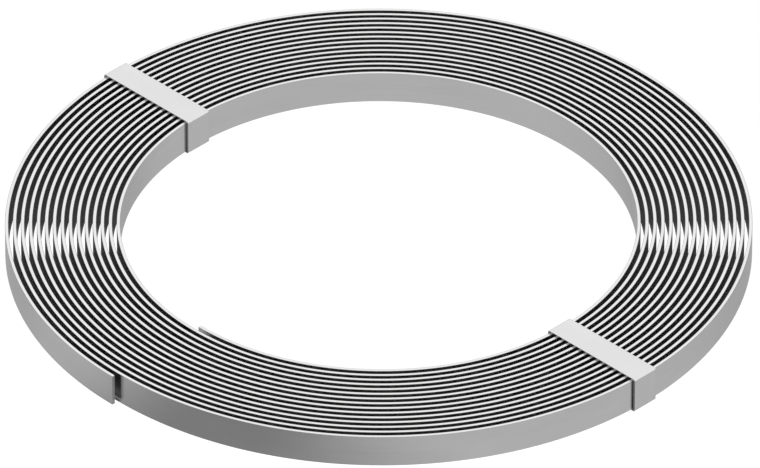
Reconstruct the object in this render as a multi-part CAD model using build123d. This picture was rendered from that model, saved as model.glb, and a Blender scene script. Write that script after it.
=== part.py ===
from build123d import *
import math
import os

# Coil of flat steel strip, wound round one axis in a single flat spiral, with daylight
# between its turns, and held by two flat straps.
# Millimetres, +Z up. The origin is on the coil's axis, on the floor under the straps.
# The straps are on +X and -X, and both free ends of the strip lie on -Y.

# The strip, and how it is wound
strip_width = 30.0  # along the coil's axis
strip_thickness = 3.0  # along the coil's radius
turn_gap = 4.0  # daylight between one turn and the next
turn_count = 15  # whole turns
eye_radius = 222.3  # from the axis to the strip's inner face at its inner end
end_angle = 270.0  # degrees from +X, counter-clockwise from above, of both free ends
arcs_per_turn = 4  # each turn is this many true arcs

# The straps
strap_right_angle = 0.0
strap_left_angle = 180.0
strap_line = -2.5  # Y of the line that both straps lie along, a little beside the axis
strap_width = 26.0  # along the turns
strap_thickness = 2.0
strap_clearance = 0.15  # between a strap's legs and the turns that they touch

# What follows from them
turn_pitch = strip_thickness + turn_gap
start_radius = eye_radius + strip_thickness / 2
arc_sweep = 360.0 / arcs_per_turn
arc_step = turn_pitch / arcs_per_turn
strip_bottom = strap_thickness


def turns_at(angle):
    """How much of the first turn is wound when the strip first comes to this angle."""
    return (angle - end_angle) % 360 / 360


def spiral_radius(turns):
    """Radius of the strip's middle line, so many turns from its inner end."""
    return start_radius + turn_pitch * turns


def toward(angle):
    """Unit vector in the floor's plane, so many degrees from +X."""
    return Vector(1, 0, 0).rotate(Axis.Z, angle)


def side_of_strip(offset):
    """One side of the wound strip seen from above, so far outside its middle line.

    It is arcs laid end to end. Their centres take turns round the corners of a small
    regular polygon about the coil's axis. Its side is the step by which each arc is
    larger than the last, so every arc leaves in the direction that the next one takes.
    """
    centre_radius = arc_step / 2 / math.sin(math.radians(arc_sweep / 2))
    arcs = []
    for number in range(turn_count * arcs_per_turn):
        start = end_angle + number * arc_sweep
        centre = toward(start + arc_sweep / 2 + 90) * centre_radius
        radius = start_radius + arc_step * (number + 0.5) + offset
        through = [centre + toward(start + arc_sweep * share) * radius for share in (0, 0.5, 1)]
        arcs.append(ThreePointArc(*through))
    return arcs


def wound_strip():
    """The whole strip as one solid: its outline seen from above, raised to its width."""
    outer = side_of_strip(strip_thickness / 2)
    inner = side_of_strip(-strip_thickness / 2)
    first_end = Line(inner[0] @ 0, outer[0] @ 0)
    last_end = Line(outer[-1] @ 1, inner[-1] @ 1)
    outline = make_face(outer + [last_end] + inner + [first_end])
    return Pos(0, 0, strip_bottom) * extrude(outline, amount=strip_width)


def strap(angle):
    """One band, folded tight round every turn that passes this angle.

    The inner leg is flat against a hollow face, so its long edge that is further from the
    axis touches first. The outer leg is flat against a round face, and touches nearest to
    the axis.
    """
    first_turn = turns_at(angle)
    last_turn = first_turn + turn_count - 1
    furthest_edge = strap_width / 2 + abs(strap_line)
    reach = math.asin(furthest_edge / spiral_radius(first_turn))
    reach_turns = reach / math.tau
    hollow_face = spiral_radius(first_turn - reach_turns) - strip_thickness / 2
    round_face = spiral_radius(last_turn + reach_turns) + strip_thickness / 2
    inner_leg = hollow_face * math.cos(reach) - strap_clearance
    outer_leg = round_face + strap_clearance
    middle = Pos((inner_leg + outer_leg) / 2, strip_bottom + strip_width / 2)
    held = middle * Rectangle(outer_leg - inner_leg, strip_width)
    band = offset(held, amount=strap_thickness, kind=Kind.ARC) - held
    folded = extrude(Plane.XZ * band, amount=strap_width / 2, both=True)
    return Pos(0, strap_line, 0) * Rot(0, 0, angle) * folded


pieces = {
    "wound_strip": wound_strip(),
    "strap_right": strap(strap_right_angle),
    "strap_left": strap(strap_left_angle),
}

os.makedirs("parts", exist_ok=True)
for name, piece in pieces.items():
    piece.label = name
    export_step(piece, f"parts/{name}.step")
    print(name, "volume", round(piece.volume), "mm3")
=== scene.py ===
# %% [markdown]
# # A coil of flat steel strip, strapped for the store
#
# The real object is one length of flat steel, wound round nothing at all. Its turns stand on
# edge beside one another with daylight between them, and two flat bands folded round the
# whole winding keep it from springing open. Three pieces make it: the strip and two straps.
#
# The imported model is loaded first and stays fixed. Every new piece is laid on it exactly,
# because the model's sizes are the real ones.

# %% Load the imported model
import math

import bpy
import numpy as np
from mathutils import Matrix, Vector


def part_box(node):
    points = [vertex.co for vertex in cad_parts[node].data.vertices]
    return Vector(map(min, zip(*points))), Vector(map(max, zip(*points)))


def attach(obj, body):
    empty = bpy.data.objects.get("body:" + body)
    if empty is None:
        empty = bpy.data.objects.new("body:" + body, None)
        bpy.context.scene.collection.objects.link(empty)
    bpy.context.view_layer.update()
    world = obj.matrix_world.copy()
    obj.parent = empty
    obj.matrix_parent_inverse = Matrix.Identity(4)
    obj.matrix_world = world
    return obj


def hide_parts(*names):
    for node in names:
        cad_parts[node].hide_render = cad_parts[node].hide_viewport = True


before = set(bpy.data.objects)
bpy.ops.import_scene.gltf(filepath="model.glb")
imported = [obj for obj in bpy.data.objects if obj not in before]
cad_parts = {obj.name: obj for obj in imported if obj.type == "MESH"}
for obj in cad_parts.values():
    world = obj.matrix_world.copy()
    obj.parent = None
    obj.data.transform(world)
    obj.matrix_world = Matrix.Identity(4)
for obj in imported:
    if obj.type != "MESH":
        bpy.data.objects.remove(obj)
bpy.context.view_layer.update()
print(len(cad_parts), "pieces in the packed model")

# %% [markdown]
# ## Sizes
#
# The strip's own sizes come from its stock section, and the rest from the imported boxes. A
# lesson worth keeping: measure what the frame already knows, and write down only what it
# cannot tell, such as how many turns there are.

# %% Sizes in metres
TURNS = 15
ARCS_PER_TURN = 4
STRIP_THICKNESS = 0.003
TURN_GAP = 0.004
PITCH = STRIP_THICKNESS + TURN_GAP
START_ANGLE = -math.pi / 2  # the winding starts on -Y and goes anticlockwise from above

strip_low, strip_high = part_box("wound_strip")
STRIP_WIDTH = strip_high[2] - strip_low[2]
OUTER_END_RADIUS = -strip_low[1] - STRIP_THICKNESS / 2
START_RADIUS = OUTER_END_RADIUS - TURNS * PITCH
print("middle line from", round(START_RADIUS * 1000, 1), "to", round(OUTER_END_RADIUS * 1000, 1), "mm")

# %% [markdown]
# ## Meshes from arrays
#
# Both kinds of piece are a closed outline carried along a path, so one helper builds the
# faces for both. The points are one array of rows: row i is the outline at step i of the
# path. Neighbouring rows and neighbouring columns make the four corners of every face at
# once, with no loop over points.
#
# The normals are worked out too. On a rounded edge between flats, Blender's own average
# would tilt the normals of the flats as well, and a flat steel face would look pillowy.


# %% A closed outline carried along a path
def outline_carried(name, points, normals, along, around, end_normals=None):
    """Mesh from rows of outline points, and its UV map in metres.

    points and normals are (rows, columns, 3). Face (i, j) joins points (i, j), (i + 1, j),
    (i + 1, j + 1) and (i, j + 1). The outline always wraps round to its first column. The
    path wraps to its first row, unless end_normals are given: then it is open, and each
    end gets one flat face. along and around are the metres at each row and each column,
    with one value more where they wrap, so that no pattern jumps there.
    """
    rows, columns = points.shape[:2]
    spans = len(along) - 1
    i, j = np.meshgrid(np.arange(spans), np.arange(columns), indexing="ij")
    row = (i[..., None] + [0, 1, 1, 0]).ravel()
    column = (j[..., None] + [0, 0, 1, 1]).ravel()
    sizes = np.full(spans * columns, 4)
    if end_normals is not None:
        ring = np.arange(columns)
        row = np.concatenate([row, np.zeros_like(ring), np.full_like(ring, rows - 1)])
        column = np.concatenate([column, ring, ring[::-1]])
        sizes = np.concatenate([sizes, [columns, columns]])
    facing = normals[row % rows, column % columns]
    if end_normals is not None:
        facing[-2 * columns :] = np.repeat(end_normals, columns, axis=0)

    mesh = bpy.data.meshes.new(name)
    mesh.vertices.add(rows * columns)
    mesh.vertices.foreach_set("co", points.astype(np.float32).ravel())
    mesh.loops.add(len(row))
    mesh.loops.foreach_set("vertex_index", (row % rows * columns + column % columns).astype(np.int32))
    mesh.polygons.add(len(sizes))
    mesh.polygons.foreach_set("loop_start", (np.cumsum(sizes) - sizes).astype(np.int32))
    mesh.polygons.foreach_set("loop_total", sizes.astype(np.int32))
    mesh.update(calc_edges=True)
    layer = mesh.uv_layers.new(name="along_and_round")
    metres = np.stack([along[row], around[column]], axis=-1)
    layer.data.foreach_set("uv", metres.astype(np.float32).ravel())
    mesh.normals_split_custom_set(facing)
    piece = bpy.data.objects.new(name, mesh)
    bpy.context.scene.collection.objects.link(piece)
    print(name, len(mesh.vertices), "points", len(mesh.polygons), "faces")
    return piece


# %% [markdown]
# ## The rolled section
#
# A rolled section has no knife edges. Its outline is a rectangle whose corners are quarter
# circles, and the same outline serves for the strip and for the straps.


# %% A rectangle with rounded corners
def rounded_rectangle(width, height, radius, steps):
    """Points and outward normals of a rectangle with quarter-circle corners, anticlockwise.

    Each corner's circle centre stands in from the rectangle's corner by the radius both
    ways. The point is the centre plus the radius times (cos a, sin a), the normal is
    (cos a, sin a), and a runs through a quarter turn in equal steps.
    """
    angle = np.linspace(0, math.pi / 2, steps + 1)
    quarter = np.arange(4)[:, None] * math.pi / 2
    turn = (quarter + angle[None, :]).ravel()
    side = np.repeat([[1, 1], [-1, 1], [-1, -1], [1, -1]], steps + 1, axis=0)
    normal = np.stack([np.cos(turn), np.sin(turn)], axis=1)
    centre = side * np.array([width / 2 - radius, height / 2 - radius])
    return centre + radius * normal, normal


def distance_round(outline):
    """Metres from the outline's first point to each of its points, and back to the first."""
    steps = np.linalg.norm(np.roll(outline, -1, axis=0) - outline, axis=1)
    return np.concatenate([[0], np.cumsum(steps)])


STRIP_EDGE_RADIUS = 0.0001  # rounding that slitting leaves on the section's corners
STRIP_CORNER_STEPS = 2
STRIP_SECTION = (STRIP_THICKNESS, STRIP_WIDTH, STRIP_EDGE_RADIUS)

section, _ = rounded_rectangle(*STRIP_SECTION, STRIP_CORNER_STEPS)
print("round the strip's section it is", round(1000 * distance_round(section)[-1], 2), "mm")

# %% [markdown]
# ## The strip's line
#
# An even spiral could be drawn by one formula, radius = start + pitch x turns. The model
# uses what a draughtsman uses instead: each quarter turn is a true arc, centred on one
# corner of a small square about the axis. The arcs are used here too, so that the new strip
# lies exactly on the model's own. The cell measures how far they stray from the formula.

# %% The strip's line
ROUNDING = 1e-9  # keeps a step that starts an arc from being counted in the one before it


def strip_line(turns, outwards):
    """Points beside the strip's middle line, seen from above, and their angle.

    arc = whole arcs passed, and step = pitch / arcs in a turn. The arc's centre is a corner
    of the square of side step, a quarter turn on from the arc's middle. Its radius is start
    radius + (arc + 1/2) x step + outwards. The point is centre + radius x (cos, sin) of the
    angle.
    """
    arc = np.clip(np.floor(turns * ARCS_PER_TURN + ROUNDING), 0, TURNS * ARCS_PER_TURN - 1)
    sweep = math.tau / ARCS_PER_TURN
    step = PITCH / ARCS_PER_TURN
    corner = START_ANGLE + (arc + 0.5) * sweep + math.pi / 2
    corner_radius = step / 2 / math.sin(sweep / 2)
    radius = START_RADIUS + (arc + 0.5) * step + outwards
    angle = START_ANGLE + turns * math.tau
    x = corner_radius * np.cos(corner) + radius * np.cos(angle)
    y = corner_radius * np.sin(corner) + radius * np.sin(angle)
    return x, y, np.broadcast_to(angle, x.shape)


turns = np.linspace(0, TURNS, 1000)
x, y, angle = strip_line(turns, 0.0)
stray = np.abs(np.hypot(x, y) - START_RADIUS - PITCH * turns).max()
print("the arcs stray from an even spiral by", round(1000 * stray, 3), "mm at most")

# %% [markdown]
# ## The strip
#
# What is carried along that line is the strip's rounded section, standing on its narrow
# edge. A shear cuts both ends square, so the section is simply closed there, after one
# last short step in which it shrinks by a hair's breadth, as a deburred end does.

# %% The strip
SECTIONS_PER_TURN = 216
STRIP_END_BEVEL = 0.00006  # less than the corners' rounding, so that none closes to a point


def wound_strip():
    """The rounded section carried along the strip's line.

    At step i the section's across-axis points outwards, square to the line, and its
    up-axis is +Z. At the first and last step the section is smaller all round by the
    bevel, and the steps next to them stand one bevel away. Length along the strip =
    2 pi x (start radius x turns + pitch x turns squared / 2).
    """
    bevel_turns = STRIP_END_BEVEL / (math.tau * START_RADIUS)
    even = np.linspace(0, TURNS, TURNS * SECTIONS_PER_TURN + 1)[1:-1]
    turns = np.concatenate([[0, bevel_turns], even, [TURNS - bevel_turns, TURNS]])
    section, facing = rounded_rectangle(*STRIP_SECTION, STRIP_CORNER_STEPS)
    inset = np.zeros(len(turns))
    inset[[0, -1]] = STRIP_END_BEVEL
    local = section - inset[:, None, None] * facing
    x, y, angle = strip_line(turns[:, None], local[:, :, 0])
    z = (strip_low[2] + strip_high[2]) / 2 + local[:, :, 1]
    points = np.stack([x, y, z], axis=-1)
    up = np.broadcast_to(facing[:, 1], x.shape)
    normals = np.stack([np.cos(angle) * facing[:, 0], np.sin(angle) * facing[:, 0], up], axis=-1)
    length = math.tau * (START_RADIUS * turns + PITCH * turns**2 / 2)
    print("the strip is", round(length[-1], 2), "m long")
    ends = [(-1, 0, 0), (1, 0, 0)]
    return outline_carried("strip_winding", points, normals, length, distance_round(section), ends)


strip = wound_strip()
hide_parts("wound_strip")
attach(strip, "root")

# %% [markdown]
# ## The straps
#
# Each strap is a flat band, folded hard over the outermost and innermost turn at top and
# bottom. Its path is the loop through the middle of its own thickness, and what is carried
# along it is the band's section, with the small rounding of a slit edge. Neither band shows
# how it is closed, so the loop simply meets itself.

# %% The straps
STRAP_THICKNESS = 0.002
STRAP_EDGE_RADIUS = 0.0002
STRAP_CORNER_STEPS = 3
STRAP_INNER_BEND = 0.00015
BEND_STEPS = 8

strap_low, strap_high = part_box("strap_right")
STRAP_SECTION = (STRAP_THICKNESS, strap_high[1] - strap_low[1], STRAP_EDGE_RADIUS)


def strap_band(name):
    """The band's section carried round a rectangle with rounded corners.

    The path runs in the plane of X and Z. At each step the section's first axis is the
    path's outward normal and its second is Y. The inner bend keeps a small radius, and
    the outer bend's radius is that plus the thickness.
    """
    low, high = np.array(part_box(name))
    middle = (low + high) / 2
    span = high - low - STRAP_THICKNESS  # the path lies half a thickness inside all round
    bend = STRAP_INNER_BEND + STRAP_THICKNESS / 2
    path, outward = rounded_rectangle(span[0], span[2], bend, BEND_STEPS)
    section, facing = rounded_rectangle(*STRAP_SECTION, STRAP_CORNER_STEPS)
    section, facing = section[::-1], facing[::-1]  # this way round the faces point outwards
    x = middle[0] + path[:, None, 0] + outward[:, None, 0] * section[:, 0]
    z = middle[2] + path[:, None, 1] + outward[:, None, 1] * section[:, 0]
    y = np.broadcast_to(middle[1] + section[:, 1], x.shape)
    points = np.stack([x, y, z], axis=-1)
    sideways = np.broadcast_to(facing[:, 1], x.shape)
    normals = [outward[:, None, 0] * facing[:, 0], sideways, outward[:, None, 1] * facing[:, 0]]
    along, around = distance_round(path), distance_round(section)
    return outline_carried(name + "_band", points, np.stack(normals, axis=-1), along, around)


straps = {name: strap_band(name) for name in ("strap_right", "strap_left")}
for node, band in straps.items():
    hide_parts(node)
    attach(band, "root")

# %% [markdown]
# ## Shader maths as plain expressions
#
# A material is a graph of nodes, and a graph is easier to read as a formula. This small
# class wraps one socket, so that 1 - mask or grain * 0.2 adds the Math node by itself.


# %% A socket that takes part in expressions
class Wire:
    """One output socket, with the operators that add Math nodes."""

    def __init__(self, shader, socket):
        self.shader = shader
        self.socket = socket

    def __add__(self, other):
        return self.shader.maths("ADD", self, other)

    def __sub__(self, other):
        return self.shader.maths("SUBTRACT", self, other)

    def __rsub__(self, other):
        return self.shader.maths("SUBTRACT", other, self)

    def __mul__(self, other):
        return self.shader.maths("MULTIPLY", self, other)

    __radd__ = __add__
    __rmul__ = __mul__


print("a wire takes part in sums, differences and products")

# %% [markdown]
# ## One method for every other node
#
# A node's settings decide which of its sockets are switched on, so they are set first. Then
# each input gets a wire or a plain value. Several sockets may share one name, and only the
# one that is switched on counts.


# %% A node tree, filled through one method
def switched_on(sockets, key):
    """The socket with this number, or the one of this name that the settings leave on."""
    if isinstance(key, int):
        return sockets[key]
    return next(socket for socket in sockets if socket.name == key and socket.enabled)


class Shader:
    """The node tree of a material or of the world."""

    def __init__(self, name, world=False):
        self.owner = bpy.data.worlds.new(name) if world else bpy.data.materials.new(name)
        self.owner.use_nodes = True
        self.tree = self.owner.node_tree
        self.tree.nodes.clear()

    def node(self, kind, settings=None, inputs=(), output=0):
        """Adds a node of this type, sets it, joins or fills its inputs, gives one output.

        inputs are listed in order, or given by name. With output=None it gives all of its
        outputs, by name.
        """
        made = self.tree.nodes.new(kind)
        for key, value in (settings or {}).items():
            setattr(made, key, value)
        for key, value in inputs.items() if isinstance(inputs, dict) else enumerate(inputs):
            slot = switched_on(made.inputs, key)
            if isinstance(value, Wire):
                self.tree.links.new(value.socket, slot)
            else:
                slot.default_value = value
        if output is None:
            return {socket.name: Wire(self, socket) for socket in made.outputs}
        return Wire(self, switched_on(made.outputs, output)) if made.outputs else made

    def maths(self, operation, *values):
        """One Math node."""
        return self.node("ShaderNodeMath", {"operation": operation}, values)


# %% [markdown]
# Three small helpers save most of the writing: a smooth step, which draws every mask here,
# one part of a vector, and a grey.


# %% A smooth step, one part of a vector, and a grey
def ramp(wire, low, high, lowest=0.0, highest=1.0):
    """lowest below low, highest above high, and a smooth step between them."""
    return wire.shader.node(
        "ShaderNodeMapRange",
        {"interpolation_type": "SMOOTHSTEP"},
        {"Value": wire, "From Min": low, "From Max": high, "To Min": lowest, "To Max": highest},
        output="Result",
    )


def axis(wire, letter):
    """One part of a vector: X, Y or Z."""
    return wire.shader.node("ShaderNodeSeparateXYZ", {}, [wire], output=letter)


def grey(level):
    """The colour with this level in all three channels."""
    return (level, level, level, 1.0)


WHITE = grey(1.0)
print("white is", WHITE)

# %% [markdown]
# ## Patterns that follow the strip
#
# Steel strip carries fine lines along its length, from the rolls that it passed through.
# The pattern follows the piece's own UV map, which counts metres along the strip and
# round its section. A noise with few repeats along and very many across draws long thin
# lines, and it does so however many times the strip goes round.

# %% Noise along and across the strip
NOISE_ROUGHNESS = 0.55  # how strong each finer layer of a noise is beside the one before it


def noise(metres, along, across, detail):
    """Noise about 0, from -1/2 to 1/2, with so many bumps for each metre along and across.

    Position = (metres along x along, metres round x across), value = noise - 1/2.
    """
    scaled = metres.shader.node(
        "ShaderNodeVectorMath", {"operation": "MULTIPLY"}, [metres, (along, across, 1.0)], output="Vector"
    )
    bumps = metres.shader.node(
        "ShaderNodeTexNoise",
        {"noise_dimensions": "2D"},
        {"Vector": scaled, "Scale": 1.0, "Detail": detail, "Roughness": NOISE_ROUGHNESS},
        output="Fac",
    )
    return bumps - 0.5


# %% [markdown]
# ## Slit edges
#
# Wide coils are slit into strip by round knives. The cut leaves the narrow edge bright in
# its middle, and along both its corners a thin lip, where the knife first pressed the
# metal down, keeps a darker skin. The lip is a quarter of a millimetre wide, so it is drawn
# in the colour and not built. Where it lies comes from the UV map's metres round the
# section, which also tell the narrow edges from the wide faces, whichever way they face.


# %% How far a point is from the middle of a slit edge
def from_slit_middle(metres, thickness, width, corner):
    """Metres from the middle of the nearer slit edge, counted round the section.

    The count starts at a corner, so the first slit edge's middle comes after a quarter
    circle and half a flat, and the other one's middle comes half the way round from it.
    Distance = ping-pong of (round - middle) between 0 and a quarter of the way round.
    """
    middle = corner * math.pi / 2 + thickness / 2 - corner
    whole = 2 * (thickness + width - 4 * corner) + math.tau * corner
    return metres.shader.maths("PINGPONG", axis(metres, "Y") - middle, whole / 4)


# %% [markdown]
# ## Steel as it leaves the mill
#
# The wide faces were pressed between polished rolls: they are smooth, and a shade darker
# than the strip's cut edges. All of it is bare metal, so one Principled shader does it.
# With Metallic at 1 the base colour would be what the metal mirrors, and nothing else. A
# trace is left to the matt skin of oil and oxide, which keeps the gaps between the turns
# from going quite black.
#
# Lines come from the rolls, and clouds are the faint uneven wiping of the oil. Both are
# noises about 0, so they leave the mean tone alone. The lines are grooves too, so they
# also feed a shallow bump and the roughness.

# %% Steel
LIP = 0.00025  # metres
LIP_FADE = 0.0001
METALLIC = 0.999
GLANCING_TINT = grey(0.76)  # how much the metal still mirrors at a low angle
LINES = {"along": 3.0, "across": 1400.0, "detail": 3.0}
CLOUDS = {"along": 14.0, "across": 60.0, "detail": 2.0}
LINES_IN_TONE = 0.10
CLOUDS_IN_TONE = 0.08
LINES_IN_ROUGHNESS = 0.12
CUT_IN_ROUGHNESS = 0.06
GROOVES = {"Strength": 0.25, "Distance": 0.00002}


def steel(name, section, rolled, slit, lip, roughness):
    """Rolled faces, slit edges and the lips between them.

    off = distance from a slit edge's middle. Tone = slit, then lip from half the thickness
    less the lip's width, then rolled from half the thickness on. It is multiplied by
    1 + lines x LINES_IN_TONE + clouds x CLOUDS_IN_TONE.
    """
    shader = Shader(name)
    metres = shader.node("ShaderNodeUVMap", {"uv_map": "along_and_round"})
    half = section[0] / 2
    off = from_slit_middle(metres, *section)
    cut = ramp(off, half - LIP - LIP_FADE, half - LIP, 1.0, 0.0)
    face = ramp(off, half, half + LIP_FADE)
    lines = noise(metres, **LINES)
    clouds = noise(metres, **CLOUDS)
    tone = rolled * face + slit * cut + lip * (1.0 - face - cut)
    tone = tone * (1.0 + lines * LINES_IN_TONE + clouds * CLOUDS_IN_TONE)
    colour = shader.node(
        "ShaderNodeVectorMath",
        {"operation": "SCALE"},
        {"Vector": (1.0, 1.0, 1.0), "Scale": tone},
        output="Vector",
    )
    relief = shader.node("ShaderNodeBump", {}, {**GROOVES, "Height": lines}, output="Normal")
    surface = shader.node(
        "ShaderNodeBsdfPrincipled",
        {},
        {
            "Base Color": colour,
            "Metallic": METALLIC,
            "Roughness": roughness + lines * LINES_IN_ROUGHNESS + cut * CUT_IN_ROUGHNESS,
            "Specular Tint": GLANCING_TINT,
            "Normal": relief,
        },
    )
    shader.node("ShaderNodeOutputMaterial", {}, {"Surface": surface})
    print(name, "has", len(shader.tree.nodes), "nodes")
    return shader.owner


# %% [markdown]
# ## Two steels from one formula
#
# The strip's cut edges are the brightest part of the coil. On the straps the cut edges and their lips are
# painted nearly black. That is painted shade, standing in for the shade in the narrow gap where each
# strap's edge meets the winding. So the one formula gets different tones for the two kinds of piece.

# %% Steel on the strip, and on the straps with painted shade on their cut edges
strip_steel = steel("strip_steel", STRIP_SECTION, rolled=0.765, slit=0.86, lip=0.28, roughness=0.19)
strip.data.materials.append(strip_steel)

# slit=0.30 and lip=0.30 are painted shade on the straps' cut edges, not the steel's own tone
strap_steel = steel("strap_steel", STRAP_SECTION, rolled=0.78, slit=0.30, lip=0.30, roughness=0.22)
for band in straps.values():
    band.data.materials.append(strap_steel)

# %% [markdown]
# ## The floor, and what the steel mirrors
#
# The coil lies on white paper. A vertical steel face seen from above mirrors only the
# paper just in front of it, so the tone of every wide face is the paper's own brightness
# in the rays that come off metal, and not that of the lamp. Light Path's Is Glossy Ray
# lets the paper have a brightness of its own there.

# %% The floor
FLOOR_HALF = 12.0
FLOOR_DROP = 0.0003

corners = np.array([(-1, -1), (1, -1), (1, 1), (-1, 1)]) * FLOOR_HALF
floor_mesh = bpy.data.meshes.new("floor")
floor_mesh.from_pydata([(x, y, -FLOOR_DROP) for x, y in corners], [], [(0, 1, 2, 3)])
floor = bpy.data.objects.new("floor", floor_mesh)
bpy.context.scene.collection.objects.link(floor)
print("the floor reaches", FLOOR_HALF, "m each way")

paper = Shader("floor_paper")
place = paper.node("ShaderNodeTexCoord", output="Object")

# %% [markdown]
# ## Shade under the winding
#
# Hardly any light comes through the gaps, so the paper under the turns is dark. The shade
# has the winding's own outline, which is a spiral and not a ring: its radius grows by one
# pitch in a turn. Taking that growth away from the radius first makes both limits plain
# numbers.

# %% Paper under the winding
SHADE_INSET = 0.0005  # metres
SHADE_EDGE = 0.002

east, north = axis(place, "X"), axis(place, "Y")
radius = paper.maths("SQRT", east * east + north * north)
turns_round = (paper.maths("ARCTAN2", north, east) - START_ANGLE) * (1 / math.tau)
wound = radius - paper.maths("FRACT", turns_round) * PITCH
shade_inner = START_RADIUS - STRIP_THICKNESS / 2 + SHADE_INSET
shade_outer = START_RADIUS + (TURNS - 1) * PITCH + STRIP_THICKNESS / 2 - SHADE_INSET
under_coil = ramp(wound, shade_inner, shade_inner + SHADE_EDGE)
under_coil = under_coil * ramp(wound, shade_outer - SHADE_EDGE, shade_outer, 1.0, 0.0)
print("shade from", round(shade_inner, 4), "to", round(shade_outer, 4), "m, less the spiral's growth")

# %% [markdown]
# ## A painted darker reflection in front
#
# From the strip's outer end to below the middle of the picture the outer face is darker. That is a
# painted reflection: a soft-edged grey patch painted on the paper gives that tone, and nothing grey
# stands beside the coil. Only the rays that come off metal see it, so the floor stays white.

# %% Grey patch painted on the paper: a painted reflection, seen only by the steel
PATCH_TURN = math.radians(288)  # from +X, the way that the patch lies
PATCH_SIDE_FROM = (-0.21, -0.035)  # metres across that way: none, then full
PATCH_SIDE_TO = (0.03, 0.24)  # full, then none
PATCH_NEAR = (0.24, 0.27)  # metres from the coil's axis: none, then full
PATCH_FAR = (0.42, 0.50)  # full, then none

turned = paper.node(
    "ShaderNodeMapping",
    {"vector_type": "TEXTURE"},
    {"Vector": place, "Rotation": (0, 0, PATCH_TURN + math.pi / 2)},  # so -Y lies that way
    output="Vector",
)
sideways, outwards = axis(turned, "X"), axis(turned, "Y") * -1.0
patch = ramp(sideways, *PATCH_SIDE_FROM) * ramp(sideways, *PATCH_SIDE_TO, 1.0, 0.0)
patch = patch * ramp(outwards, *PATCH_NEAR) * ramp(outwards, *PATCH_FAR, 1.0, 0.0)
print("the patch lies", round(math.degrees(PATCH_TURN)), "degrees round from +X")

# %% [markdown]
# ## The paper's shader
#
# To the camera the paper is white by its own glow, with a share of plain diffuse mixed in so that it
# takes the coil's shadow. To the steel it glows about half as much, so that a face is as light on the
# lamp's far side as on its near side. It glows less in the shade and on the painted grey patch, which
# paints a darker reflection into the outer face. To all other light it is plain pale paper.

# %% Paper
SHADOW_SHARE = 0.13  # of plain diffuse in what the camera sees
SHADE_GLOW_SEEN = 0.15  # of the paper's glow that the camera still sees under the turns
PAPER_IN_STEEL = 0.465  # of white
SHADE_IN_STEEL = 0.055  # of white
PATCH_DIMS = 0.75  # share of the glow that the patch takes away
PALE = grey(0.45)
DIM = grey(0.12)

rays = paper.node("ShaderNodeLightPath", output=None)
glow = paper.node("ShaderNodeEmission", {}, {"Color": WHITE, "Strength": 1.0})
bright = paper.node("ShaderNodeBsdfDiffuse", {}, {"Color": WHITE})
pale = paper.node("ShaderNodeBsdfDiffuse", {}, {"Color": PALE})
dim = paper.node("ShaderNodeBsdfDiffuse", {}, {"Color": DIM})

glow_seen = (1.0 - under_coil * (1 - SHADE_GLOW_SEEN)) * (1 - SHADOW_SHARE)
seen = paper.node("ShaderNodeMixShader", {}, [glow_seen, bright, glow])
# The patch takes glow only from what the steel mirrors: it paints a darker reflection into the outer face
open_paper = (1.0 - under_coil) * (1.0 - patch * PATCH_DIMS)
glow_in_steel = open_paper * PAPER_IN_STEEL + under_coil * SHADE_IN_STEEL
mirrored = paper.node("ShaderNodeMixShader", {}, [glow_in_steel, dim, glow])
unseen = paper.node("ShaderNodeMixShader", {}, [rays["Is Glossy Ray"], pale, mirrored])
direct = rays["Is Camera Ray"] + rays["Is Transmission Ray"]
both = paper.node("ShaderNodeMixShader", {}, [direct, unseen, seen])
paper.node("ShaderNodeOutputMaterial", {}, {"Surface": both})
floor_mesh.materials.append(paper.owner)
print("the paper has", len(paper.tree.nodes), "nodes")

# %% [markdown]
# ## The room
#
# Every upward face mirrors the room, which is white all round, so the slit edges and the
# strap tops come out as light as their own colour. To matt surfaces the room gives only a
# little light, and the lamp does the rest. The Standard view shows a colour as written.

# %% The room
ROOM_LIGHT = 0.1

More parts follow.
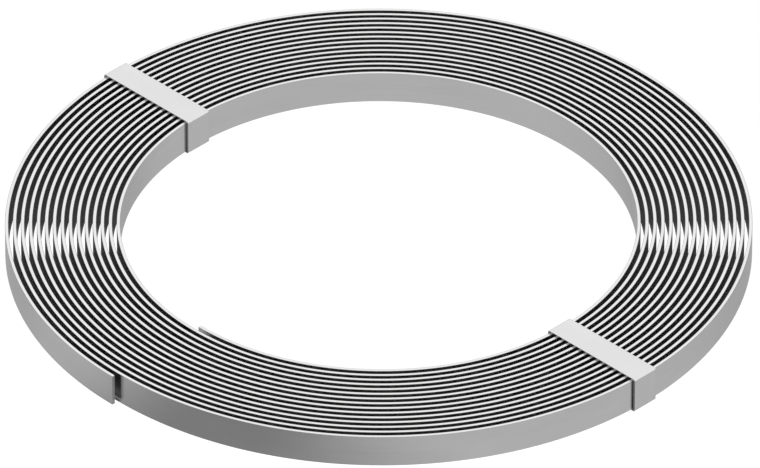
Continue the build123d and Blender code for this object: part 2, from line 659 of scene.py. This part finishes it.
room = Shader("white_room", world=True)
room_rays = room.node("ShaderNodeLightPath", output=None)
shows = room_rays["Is Camera Ray"] + room_rays["Is Glossy Ray"] + room_rays["Is Transmission Ray"]
soft = room.node("ShaderNodeBackground", {}, {"Color": WHITE, "Strength": ROOM_LIGHT})
backdrop = room.node("ShaderNodeBackground", {}, {"Color": WHITE, "Strength": 1.0})
surround = room.node("ShaderNodeMixShader", {}, [shows, soft, backdrop])
room.node("ShaderNodeOutputWorld", {}, {"Surface": surround})
bpy.context.scene.world = room.owner
bpy.context.scene.view_settings.view_transform = "Standard"
print("the room gives", ROOM_LIGHT, "of white to matt surfaces")

# %% [markdown]
# ## The camera
#
# The photo shows the coil from far away: both ends of its ellipse are alike, so there is
# hardly any perspective. A long lens at a long distance gives the same. The ellipse is
# 0.577 as high as it is wide, which is the sine of a rise of 35.24 degrees. The straps lie
# along X and run down to the right in the photo, so the camera stands 45 degrees round.

# %% Camera
CAMERA_TURN = math.radians(45)
CAMERA_RISE = math.radians(35.24)
LENS = 1000.0  # mm
SENSOR = 36.0  # mm
FRAME_WIDTH = 0.6665  # metres across the picture at the coil's axis
AIM = np.array([-0.00044, -0.00044, 0.0181])
CLIP_END = 60.0  # metres

level = math.cos(CAMERA_RISE)
toward_camera = np.array(
    [math.sin(CAMERA_TURN) * level, -math.cos(CAMERA_TURN) * level, math.sin(CAMERA_RISE)]
)
distance = FRAME_WIDTH * LENS / SENSOR
camera_data = bpy.data.cameras.new("camera")
camera_data.lens = LENS
camera_data.sensor_width = SENSOR
camera_data.clip_end = CLIP_END
camera = bpy.data.objects.new("camera", camera_data)
camera.location = AIM + toward_camera * distance
camera.rotation_euler = (math.pi / 2 - CAMERA_RISE, 0, CAMERA_TURN)
bpy.context.scene.collection.objects.link(camera)
bpy.context.scene.camera = camera
print("the camera is", round(distance, 2), "m away")

# %% [markdown]
# ## The lamp
#
# At the far left and right the camera looks right through between the turns, and the
# paper at the bottom is bright. A lamp at the lens does that: it lights exactly the paper
# that the camera sees. The steel doesn't mirror it, because a lamp so small would show
# only as specks. Its power = light on the coil x 4 pi x distance squared.

# %% Lamp at the lens
LAMP_LIGHT = 5.6  # watts on each square metre that faces the lamp
LAMP_RADIUS = 0.1

lamp_data = bpy.data.lights.new("lamp_at_lens", "POINT")
lamp_data.energy = LAMP_LIGHT * 4 * math.pi * distance**2
lamp_data.shadow_soft_size = LAMP_RADIUS
lamp = bpy.data.objects.new("lamp_at_lens", lamp_data)
lamp.location = camera.location
lamp.visible_glossy = False
bpy.context.scene.collection.objects.link(lamp)
print("the lamp has", round(lamp_data.energy), "W")
